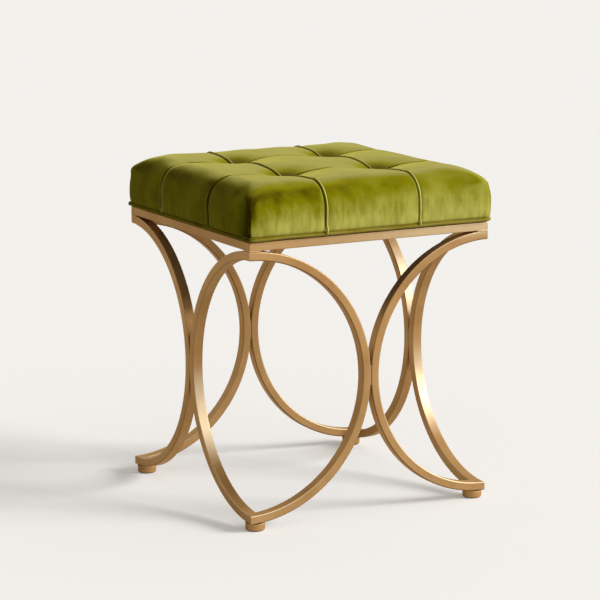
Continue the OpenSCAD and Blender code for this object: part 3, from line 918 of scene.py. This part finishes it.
def ring_of(places):
    """For each point: the half width, height and corner rounding of its ring."""
    table = np.array(rings)
    nearest = np.abs(places[:, 2:3] - table[:, 1][None]).argmin(1)
    return table[nearest]


flat = points(cushion)
on_top = flat[:, 2] > CROWN_Z - DOME - 1e-6
ring = ring_of(flat)
half = np.where(on_top, np.maximum(np.abs(flat[:, 0]), np.abs(flat[:, 1])), ring[:, 0])
rim_r = CORNER_R + RIM_EXTRA_R
top_r = rim_r * np.clip((half - ROUNDS_FROM) / (TOP_HALF - ROUNDS_FROM), 0, 1) ** 2
corner = np.where(on_top, top_r, ring[:, 2])

# %% How far along its side a point lies, with the channels kept at their place
along = np.abs(flat[:, :2])
stretch = (TOP_HALF / np.where(on_top, TOP_HALF, half))[:, None]
grid_line = along * stretch
beyond = np.clip(grid_line - CHANNEL, 0, None)
room = np.where(on_top, TOP_HALF, half)[:, None] - CHANNEL
along = np.where(on_top[:, None], along,
                 np.minimum(grid_line, CHANNEL) + beyond * room / (TOP_HALF - CHANNEL))
print("points on top:", int(on_top.sum()), "down the sides:", int((~on_top).sum()))

# %% Bend the corners round
small = along.min(1)
flat_part = half - corner
angle = np.clip((small - flat_part) / np.maximum(corner, 1e-9), 0, 1) * math.pi / 4
in_arc = small > flat_part
short = np.where(in_arc, flat_part + corner * np.sin(angle), small)
long = np.where(in_arc, flat_part + corner * np.cos(angle), half)
x_is_long = np.abs(flat[:, 0]) >= np.abs(flat[:, 1])
shaped = np.stack([np.where(x_is_long, long, short), np.where(x_is_long, short, long)], 1)
shaped *= np.sign(flat[:, :2])
shaped = np.concatenate([shaped, flat[:, 2:3]], 1)
u, v = shaped[:, 0] / TOP_HALF, shaped[:, 1] / TOP_HALF
crown = DOME * (1 - np.clip(u, -1, 1) ** 2) * (1 - np.clip(v, -1, 1) ** 2)
shaped[:, 2] += np.where(on_top, crown, 0)
move_points(cushion, shaped)
outward = normals(cushion)

# %% The foam's own corners keep the shoulder of the roll squarer there
SHOULDER = 5.5 * MM
SHOULDER_Z = 474.5 * MM
SHOULDER_TALL = 9 * MM
FRONT_LEFT_SHARE = 0.35


def smoothstep(low, high, value):
    """0 below the low end, 1 above the high end, and a smooth rise between them."""
    t = np.clip((value - low) / (high - low), 0, 1)
    return t * t * (3 - 2 * t)


def hill(distance, reach):
    """A smooth hill: 1 at its middle, almost 0 at twice its reach."""
    return np.exp(-(distance / reach) ** 2)


toward_corner = smoothstep(138 * MM, 182 * MM, np.abs(shaped[:, :2]).min(1))
front_left = (shaped[:, 0] < 0) & (shaped[:, 1] < 0)
toward_corner *= np.where(front_left, FRONT_LEFT_SHARE, 1)
push_out = SHOULDER * toward_corner * hill(shaped[:, 2] - SHOULDER_Z, SHOULDER_TALL)
shaped[:, :2] += outward[:, :2] * push_out[:, None]
move_points(cushion, shaped)
form = shaped.copy()
outward = normals(cushion)
print("shoulders pushed out by mm:", push_out.max() / MM)

# %% Draw in the channels and the tufts
SEAM_DEPTH = 2.4 * MM
SEAM_REACH = 22 * MM
TUFT_DEPTH = 20 * MM
TUFT_REACH = 25 * MM
BAND_TOP = 416 * MM
START_INSET = 2.0 * MM


def channel_fall(distance, reach):
    """1 on a channel, 0 where its panel is full."""
    return 1 - np.sin(np.pi / 2 * np.clip(distance / reach, 0, 1))


to_x = np.abs(np.abs(form[:, 0]) - CHANNEL)
to_y = np.abs(np.abs(form[:, 1]) - CHANNEL)
side = ~on_top
faces_x = side & (np.abs(outward[:, 0]) > np.abs(outward[:, 1]))
faces_y = side & ~faces_x
fall_x = np.where(faces_x, 0, channel_fall(to_x, SEAM_REACH))
fall_y = np.where(faces_y, 0, channel_fall(to_y, SEAM_REACH))
fade = smoothstep(WALL_Z - 4 * MM, WALL_Z + 14 * MM, form[:, 2])
dent = SEAM_DEPTH * np.maximum(fall_x, fall_y) * (0.25 + 0.75 * fade)
tuft = np.exp(-np.hypot(to_x, to_y) / TUFT_REACH) * on_top
dent += (TUFT_DEPTH - SEAM_DEPTH / 2) * tuft
dent *= form[:, 2] > BAND_TOP
soft = 1 - np.maximum(fall_x, fall_y)
above_wall = smoothstep(WALL_Z, WALL_Z + 25 * MM, form[:, 2])
dent += START_INSET * soft * above_wall
move_points(cushion, form - outward * dent[:, None])
print("deepest dent mm:", dent.max() / MM)

# %% [markdown]
# ## Fill the panels
# Sewn panels bulge because the filling pushes from inside while the channels hold. A short
# cloth simulation does just that: the channels, the tufts and the hem are pinned, and air
# pressure swells what lies between. The simulation also leaves small wrinkles. So its movement
# is evened out along the mesh afterwards, and capped, so that the pad keeps its outline.

# %% Even out a shift of the points along the mesh
def evened(shift, piece, held, passes):
    ends = np.zeros(len(piece.data.edges) * 2, int)
    piece.data.edges.foreach_get("vertices", ends)
    first, second = ends.reshape(-1, 2).T
    neighbours = np.bincount(ends, minlength=len(shift))[:, None]
    for _ in range(passes):
        total = np.zeros_like(shift)
        np.add.at(total, first, shift[second])
        np.add.at(total, second, shift[first])
        shift = (shift + total / neighbours) / 2
        shift[held] = 0
    return shift


# %% Puff up the panels
PRESSURE = 40.0
CAP = 6 * MM
PUFF_FRAMES = 20
EVENING_PASSES = 14
seam_line = (to_x < 0.2 * MM) & ~faces_x | (to_y < 0.2 * MM) & ~faces_y
pinned = seam_line | (form[:, 2] < WALL_Z + 1 * MM) | (tuft > 0.8)
before = points(cushion)
sewn = cushion.vertex_groups.new(name="sewn")
sewn.add([int(i) for i in np.flatnonzero(pinned)], 1.0, "REPLACE")
hold(cushion)
cloth = cushion.modifiers.new("puff", "CLOTH")
cloth.settings.quality = 6
cloth.settings.vertex_group_mass = "sewn"
cloth.settings.use_pressure = True
cloth.settings.uniform_pressure_force = PRESSURE
cloth.settings.effector_weights.gravity = 0
cloth.settings.bending_stiffness = 0.6
cloth.collision_settings.use_collision = False
cloth.point_cache.frame_end = PUFF_FRAMES
for frame_number in range(1, PUFF_FRAMES + 1):
    scene.frame_set(frame_number)
bpy.ops.object.modifier_apply(modifier="puff")
scene.frame_set(1)
cushion.vertex_groups.clear()
swell = evened(points(cushion) - before, cushion, pinned, EVENING_PASSES)
far = np.linalg.norm(swell, axis=1, keepdims=True)
print("swell mm: mean", far.mean() / MM, "most", far.max() / MM)
swell *= CAP * np.tanh(far / CAP) / np.maximum(far, 1e-9)
move_points(cushion, before + swell)

# %% Let the roll run on evenly into its corners
HOLLOW_AT = 143 * MM
HOLLOW_Z = 477 * MM
HOLLOW_REACH = 13 * MM
HOLLOW_DEEP = 1.4 * MM
filled = points(cushion)
beside = np.minimum(np.abs(form[:, 0]), np.abs(form[:, 1]))
level_up = hill(beside - HOLLOW_AT, HOLLOW_REACH) * hill(form[:, 2] - HOLLOW_Z, HOLLOW_REACH)
move_points(cushion, filled + outward * (HOLLOW_DEEP * level_up * side)[:, None])
print("points levelled up on the roll:", int((level_up * side > 0.1).sum()))

# %% [markdown]
# ## Grooves along the channels
# Where two panels meet, the velvet dips into a groove only a few millimetres wide. A grid fine
# enough for that all over would be heavy. So the cover is cut on both sides of each channel
# with the bisect operator, and only the line between the cuts is pushed down. Close to a tuft
# the groove fades out, because the velvet is drawn down there already. The line is marked as a
# seam, so that the piping can find it again, and creased, so that the subdivision that follows
# keeps the groove narrow.

# %% Cut beside each channel
# along which axis, on which side, and how far before and behind the channel
CUTS = (((1, 0, 0), -1, (-2.9 * MM, 2.6 * MM)), ((1, 0, 0), 1, (-2.4 * MM, 2.4 * MM)),
        ((0, 1, 0), -1, (-2.7 * MM, 2.7 * MM)), ((0, 1, 0), 1, (-2.7 * MM, 2.7 * MM)))
hold(cushion)
bpy.ops.object.mode_set(mode="EDIT")
pick(cushion, "FACE", lambda face: len(face.verts) > 4)
bpy.ops.mesh.delete(type="FACE")
for axis, sign, both in CUTS:
    for beside in both:
        bpy.ops.mesh.select_all(action="SELECT")
        bpy.ops.mesh.bisect(plane_co=Vector(axis) * (sign * CHANNEL + beside), plane_no=axis)
bpy.ops.object.mode_set(mode="OBJECT")
print("cover with cuts:", len(cushion.data.vertices), "points")

# %% Push the channels down into grooves
GROOVE_DEPTH = {-1: 4.0 * MM, 1: 3.2 * MM}
ON_LINE = 0.6 * MM


def on_channel(edge):
    """Whether an edge lies on a channel. The four tufts' own points are left out."""
    off = np.array([[abs(abs(p.co.x) - CHANNEL), abs(abs(p.co.y) - CHANNEL)] for p in edge.verts])
    on = off < ON_LINE
    return bool(on.all(0).any() and not on.all(1).any()
                and min(p.co.z for p in edge.verts) > HEM_Z + 1 * MM)


def off_tufts(places):
    """How far each point lies from the nearest of the four tufts, seen from above."""
    return np.hypot(*(np.abs(places[:, :2]) - CHANNEL).T)


places = points(cushion)
lean = normals(cushion)
in_groove = np.zeros(len(places), bool)
bpy.ops.object.mode_set(mode="EDIT")
pick(cushion, "EDGE", on_channel)
bpy.ops.mesh.mark_seam()
bpy.ops.transform.edge_crease(value=0.6)
bpy.ops.object.mode_set(mode="OBJECT")
for edge in cushion.data.edges:
    if edge.use_seam:
        in_groove[list(edge.vertices)] = True
fade = smoothstep(WALL_Z - 3 * MM, WALL_Z + 8 * MM, places[:, 2])
fade *= 0.25 + 0.75 * smoothstep(2 * MM, 14 * MM, off_tufts(places))
right = np.abs(places[:, 0] - CHANNEL) < 1 * MM
depth = np.where(right, GROOVE_DEPTH[1], GROOVE_DEPTH[-1])
places -= lean * (depth * in_groove * fade)[:, None]
move_points(cushion, places)
print("points in the grooves:", int(in_groove.sum()))

# %% One subdivision smooths the velvet
hold(cushion)
smoother = cushion.modifiers.new("smoother", "SUBSURF")
smoother.levels = smoother.render_levels = 1
bpy.ops.object.modifier_apply(modifier="smoother")
print("cover:", len(cushion.data.vertices), "points, seam edges:",
      sum(edge.use_seam for edge in cushion.data.edges))

# %% [markdown]
# ## Folded corners
# At each corner the cloth has nowhere to go, so the upholsterer folds the spare cloth under the
# front or back face and pulls it down under the welt. That leaves an upright lip with a hollow
# beside it. The corners get more points first, so that the fold can be crisp. Near the welt the
# pulled cloth ripples a little, too. All of this is added up as one push along the normals.
#
# On the way the painted shade is worked out: behind each tuft, in the folds and beside them, and
# in the grooves of the left wall, which lie in shade.

# %% More points at the corners
CORNER_FROM = 174 * MM
CORNER_LOW, CORNER_HIGH = 416.5 * MM, 486 * MM
hold(cushion)
bpy.ops.object.mode_set(mode="EDIT")
pick(cushion, "FACE", lambda face: all(
    min(abs(p.co.x), abs(p.co.y)) > CORNER_FROM and CORNER_LOW < p.co.z < CORNER_HIGH
    for p in face.verts))
bpy.ops.mesh.subdivide(number_cuts=1)
bpy.ops.object.mode_set(mode="OBJECT")
print("cover with corners:", len(cushion.data.vertices), "points")

# %% Painted shade behind the tufts
PAINTED_SHADE_REACH = 38 * MM
places = points(cushion)
lean = normals(cushion)
x, y, z = places.T
pull = np.zeros(len(places))
leans_back = smoothstep(0.00, 0.18, -lean @ (0.2, 0.98, 0))
painted_shade = hill(off_tufts(places), PAINTED_SHADE_REACH) * leans_back
painted_shade *= lean[:, 2] > 0.5
print("points behind the tufts:", int((painted_shade > 0.1).sum()))

# %% Fold the corners
LIP = 0.9 * MM
HOLLOW = 6 * MM
FOLD_FROM = 150 * MM
LIP_AT = {(-1, -1): -3.5 * MM, (1, -1): 1 * MM, (-1, 1): -10 * MM, (1, 1): -8 * MM}
upright = smoothstep(417 * MM, 421 * MM, z) * (1 - smoothstep(452 * MM, 476 * MM, z))
shade_z = smoothstep(416 * MM, 418 * MM, z) * (1 - smoothstep(463 * MM, 471 * MM, z))
for (sign_x, sign_y), lip_at in LIP_AT.items():
    here = (x * sign_x > FOLD_FROM) & (y * sign_y > FOLD_FROM)
    # the lip's line wanders a little on its way down
    wander = 0.7 * MM * np.sin(z / (7 * MM) + 2 * sign_x + sign_y)
    wander += 0.9 * MM * hill(z - 463 * MM, 5 * MM)
    past = np.abs(x) - np.abs(y) - lip_at - wander
    # a raised lip, a sudden drop behind it, and a slow rise out of the hollow
    fold = LIP * hill(np.minimum(past, 0), 3.5 * MM)
    fold -= (LIP + HOLLOW) * smoothstep(0, 2 * MM, past)
    fold += HOLLOW * smoothstep(1 * MM, 34 * MM, past)
    peak = 0.8 * MM * hill(z - 469 * MM, 3 * MM) * hill(past, 3 * MM)
    pull += np.where(here, fold * upright + peak, 0)
    # painted shade in the hollow, and less of it in front of the lip
    dark = smoothstep(-1 * MM, 1 * MM, past) * (1 - smoothstep(8 * MM, 36 * MM, past))
    before_lip = 0.15 * smoothstep(-22 * MM, -6 * MM, past)
    before_lip += 0.40 * smoothstep(-9 * MM, -1 * MM, past)
    before_lip *= past < 0
    painted_shade = np.maximum(painted_shade, here * np.maximum(0.48 * dark, before_lip) * shade_z)
print("points in the folds:", int((pull != 0).sum()))

# %% Painted shade in the grooves of the left wall, with a painted pale highlight beside each
off = np.abs(np.abs(y) - CHANNEL)
groove = 0.6 * hill(off, 2.5 * MM) - 0.22 * hill(off - 5 * MM, 1.2 * MM)
painted_shade += groove * smoothstep(0.2, 0.6, -lean[:, 0]) * shade_z
print("points in or beside the left grooves:", int((off < 8 * MM).sum()))

# %% Ripple the cloth above the welt
RIPPLE = 0.7 * MM
DRIFT = 0.25 * MM
run = np.where(np.abs(lean[:, 0]) > np.abs(lean[:, 1]), y, x)
ripple = np.sin(run / (2.1 * MM)) + np.sin(run / (3.3 * MM) + 1.7)
ripple = (ripple + np.sin(run / (5.3 * MM) + 0.4)) / 3
low = 1 - smoothstep(422 * MM, 446 * MM, z)
wall = smoothstep(417 * MM, 420 * MM, z) * (1 - np.abs(lean[:, 2]))
pull += RIPPLE * ripple * low * wall
print("ripples reach mm:", RIPPLE * np.abs(ripple * low * wall).max() / MM)

# %% One small tuck at the front, and a slow drift all over
TUCK_X = 172.5 * MM
TUCK = 1.5 * MM
tuck = hill(x - TUCK_X, 1.5 * MM) * (y < -150 * MM)
tuck *= 1 - smoothstep(424 * MM, 436 * MM, z)
pull -= TUCK * tuck * wall
drift = np.sin(x / (13 * MM) + 1.0) * np.sin(y / (17 * MM) + 0.5)
drift += np.sin((x + z) / (9 * MM)) * np.sin((y - z) / (11 * MM))
pull += DRIFT * drift * (z > 420 * MM)
move_points(cushion, places + lean * pull[:, None])
print("deepest fold mm:", pull.min() / MM)


# %% Keep the painted shade with the points
def keep_painted_shade(piece, values):
    mark = piece.data.attributes.new("painted_shade", "FLOAT", "POINT")
    mark.data.foreach_set("value", values.astype(np.float32))


keep_painted_shade(cushion, painted_shade)
print("crushed pile from", painted_shade.min(), "to", painted_shade.max())

# %% [markdown]
# ## Piping in the channels
# Along every channel the two panels are sewn together with a pinched fold, which stands in
# the groove like a thin cord. The groove's own edges are copied out of the cover, made a
# curve and given a round section, so the cord follows the pad exactly. It stands a little
# higher in the channels that run from front to back than in those that run across, and at the
# tufts it dives under the velvet, where the twine pulls it down.

# %% Copy the seams out of the cover
outward_at = {tuple(np.round(p, 5)): n for p, n in zip(points(cushion), normals(cushion))}
hold(cushion)
bpy.ops.object.mode_set(mode="EDIT")
pick(cushion, "EDGE", lambda edge: edge.seam)
bpy.ops.mesh.duplicate()
bpy.ops.mesh.separate(type="SELECTED")
bpy.ops.object.mode_set(mode="OBJECT")
piping = next(o for o in bpy.context.selected_objects if o != cushion)
hold(piping)
named("channel_piping")
print("piping runs along", len(piping.data.edges), "edges")

# %% Lift the line to where the cord runs
CORD_BESIDE = {-1: 1.0 * MM, 1: 0.2 * MM}
CORD_BEHIND = 1.2 * MM
CORD_RAISED = {-1: 4.3 * MM, 1: 3.5 * MM}
CORD_LOW = {-1: 0.4 * MM, 1: 2.0 * MM}
CORD_SUNK = 2.2 * MM
places = points(piping)
away = np.array([outward_at[tuple(np.round(p, 5))] for p in places])
on_line = np.abs(np.abs(places[:, :2]) - CHANNEL) < ON_LINE
raised = np.where(on_line[:, 0], np.where(places[:, 0] < 0, CORD_RAISED[-1], CORD_RAISED[1]),
                  np.where(places[:, 1] < 0, CORD_LOW[-1], CORD_LOW[1]))
raised = (raised + CORD_SUNK) * smoothstep(1 * MM, 18 * MM, off_tufts(places)) - CORD_SUNK
beside = np.where(places[:, 0] < 0, CORD_BESIDE[-1], CORD_BESIDE[1])
places += away * raised[:, None]
places[:, 0] += beside * on_line[:, 0]
places[:, 1] += CORD_BEHIND * on_line[:, 1]
move_points(piping, places)
print("the cord's line lies between", places[:, 2].min(), "and", places[:, 2].max(), "m up")

# %% Give it a round section
CORD_R = 1.6 * MM


def round_cord(radius, resolution, caps):
    """Turn the piece in hand from a line into a smooth round cord."""
    bpy.ops.object.convert(target="CURVE")
    curve = bpy.context.object.data
    curve.dimensions = "3D"
    curve.bevel_depth = radius
    curve.bevel_resolution = resolution
    curve.use_fill_caps = caps
    bpy.ops.object.convert(target="MESH")
    bpy.ops.object.shade_smooth()
    return bpy.context.object


piping = round_cord(CORD_R, 3, caps=True)
print("piping:", len(piping.data.polygons), "faces")

# %% Painted shade on the piping: at the tufts and down the front part of the left wall
CORD_PAINTED_SHADE_REACH = 17 * MM
places = points(piping)
shaded = smoothstep(165 * MM, 190 * MM, -places[:, 0]) * (places[:, 1] < 0)
keep_painted_shade(piping, np.maximum(hill(off_tufts(places), CORD_PAINTED_SHADE_REACH), 1.2 * shaded))
print("points of the piping in shade:", int((shaded > 0.5).sum()))

# %% [markdown]
# ## The underside of the cover
# Under the seat the velvet is turned in over the board's edge and stapled. The open rim of the
# cover is extruded inwards as a hem, up beside the board and closed, so that the cushion is
# one sealed skin. Its faces are then all turned outwards.

# %% Close the underside round the board
HEM_W = 22 * MM
HEM_RISE = 0.9 * MM
BOARD_EDGE = 190.9 * MM
BOARD_RISE = 12.5 * MM
under = [(0, (BAND_HALF - HEM_W) / BAND_HALF), (HEM_RISE, 1),
         (0, BOARD_EDGE / (BAND_HALF - HEM_W)), (BOARD_RISE, 1)]
hold(cushion)
bpy.ops.object.mode_set(mode="EDIT")
pick(cushion, "EDGE", lambda edge: edge.is_boundary)
for rise, grow in under:
    bpy.ops.mesh.extrude_region_move(TRANSFORM_OT_translate={"value": (0, 0, rise)})
    bpy.ops.transform.resize(value=(grow, grow, 1), center_override=(0, 0, 0))
bpy.ops.mesh.edge_face_add()
bpy.ops.mesh.select_all(action="SELECT")
bpy.ops.mesh.normals_make_consistent(inside=False)
bpy.ops.object.mode_set(mode="OBJECT")
bpy.ops.object.shade_smooth()
print("the cover goes down to", points(cushion)[:, 2].min(), "m")

# %% Finish the cushion
for piece, pile in ((cushion, velvet), (piping, cord_velvet)):
    dress(piece, pile)
    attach(piece, "root")
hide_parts("cushion_cover", "foam_pad")
print("cushion:", len(cushion.data.polygons), "faces")

# %% [markdown]
# ## Welt
# The welt is a cord in a strip of the same velvet, sewn round the bottom of the cover. It
# starts as a square whose corners are rounded, gets points all along, and wavers by a fraction
# of a millimetre, as a hand-sewn edge does.

# %% A square line with many points
WELT_R = 3.1 * MM
WELT_HALF = 196.6 * MM
WELT_Z = 416.6 * MM
WELT_CORNER = 6 * MM
bpy.ops.object.select_all(action="DESELECT")
bpy.ops.mesh.primitive_plane_add(size=2 * WELT_HALF, location=(0, 0, WELT_Z))
welt = named("velvet_welt_cord")
bpy.ops.object.transform_apply(location=True)
bpy.ops.object.mode_set(mode="EDIT")
bpy.ops.mesh.select_all(action="SELECT")
bpy.ops.mesh.delete(type="ONLY_FACE")
bpy.ops.mesh.select_all(action="SELECT")
bpy.ops.mesh.subdivide(number_cuts=79)
bpy.ops.object.mode_set(mode="OBJECT")
print("points along the welt:", len(welt.data.vertices))

# %% Round its corners and let it waver
WAVER_HIGH = 0.35 * MM
WAVER_WIDE = 0.0012
places = points(welt)
small = np.abs(places[:, :2]).min(1)
straight = WELT_HALF - WELT_CORNER
bend = np.clip((small - straight) / WELT_CORNER, 0, 1) * math.pi / 4
short = np.where(bend > 0, straight + WELT_CORNER * np.sin(bend), small)
long = np.where(bend > 0, straight + WELT_CORNER * np.cos(bend), WELT_HALF)
x_is_long = np.abs(places[:, 0]) >= np.abs(places[:, 1])
rounded = np.stack([np.where(x_is_long, long, short), np.where(x_is_long, short, long)], 1)
places[:, :2] = rounded * np.sign(places[:, :2])
run = np.arctan2(places[:, 1], places[:, 0])
places[:, 2] += WAVER_HIGH * np.sin(17 * run + 0.6) * np.sin(5 * run)
places[:, :2] *= (1 + WAVER_WIDE * np.sin(23 * run + 1.1) * np.cos(7 * run))[:, None]
move_points(welt, places)
print("the welt's line reaches", places[:, 0].max(), "m to the right")

# %% Welt
hold(welt)
welt = round_cord(WELT_R, 5, caps=False)
dress(welt, welt_velvet)
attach(welt, "root")
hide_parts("welt")
print("welt:", len(welt.data.polygons), "faces")

# %% [markdown]
# ## Dust cloth
# A black spun cloth is stapled under the seat to hide the board and the twine. It closes the
# opening in the base, with its edge between the seat and the rails. It is held stretched by its
# staples and only a little slack in the middle. A grid is lowered by a smooth sag with faint
# waves, and a solidify modifier gives it the thickness of cloth.

# %% Spun black cloth
CLOTH_BLACK = (0.010, 0.010, 0.011, 1)
CLOTH_WORN = (0.030, 0.030, 0.032, 1)
dust_skin, tree, shader, here = new_material("black_dust_cloth")
web = put_group(tree, clouds, Vector=here, Scale=420.0, Detail=6.0, From=0.25, To=0.75)
tree.links.new(mix_colours(tree, web, CLOTH_BLACK, CLOTH_WORN), shader.inputs["Base Color"])
shader.inputs["Roughness"].default_value = 0.95
bump(tree, shader, web, 0.0002)

# %% Dust cloth
DUST_HALF = 186 * MM
DUST_Z = 412.8 * MM
DUST_THICK = 0.6 * MM
SAG = 1.5 * MM
bpy.ops.object.select_all(action="DESELECT")
bpy.ops.mesh.primitive_grid_add(x_subdivisions=62, y_subdivisions=62, size=2 * DUST_HALF,
                                location=(0, 0, DUST_Z))
dust = named("dust_cloth")
bpy.ops.object.transform_apply(location=True)
hold(dust)
places = points(dust)
u, v = places[:, 0] / DUST_HALF, places[:, 1] / DUST_HALF
places[:, 2] -= SAG * (1 - u ** 2) ** 2 * (1 - v ** 2) ** 2
slack = np.sin(9 * (u + v)) * np.sin(7 * (u - v))
places[:, 2] -= 0.25 * SAG * (1 + slack) * (1 - u ** 4) * (1 - v ** 4)
move_points(dust, places)
thick = dust.modifiers.new("thick", "SOLIDIFY")
thick.thickness = DUST_THICK
thick.offset = 0
bpy.ops.object.modifier_apply(modifier="thick")
bpy.ops.object.shade_smooth_by_angle(angle=math.radians(40))
dress(dust, dust_skin)
print("dust cloth:", len(dust.data.polygons), "faces")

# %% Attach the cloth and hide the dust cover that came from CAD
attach(dust, "root")
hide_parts("dust_cover")
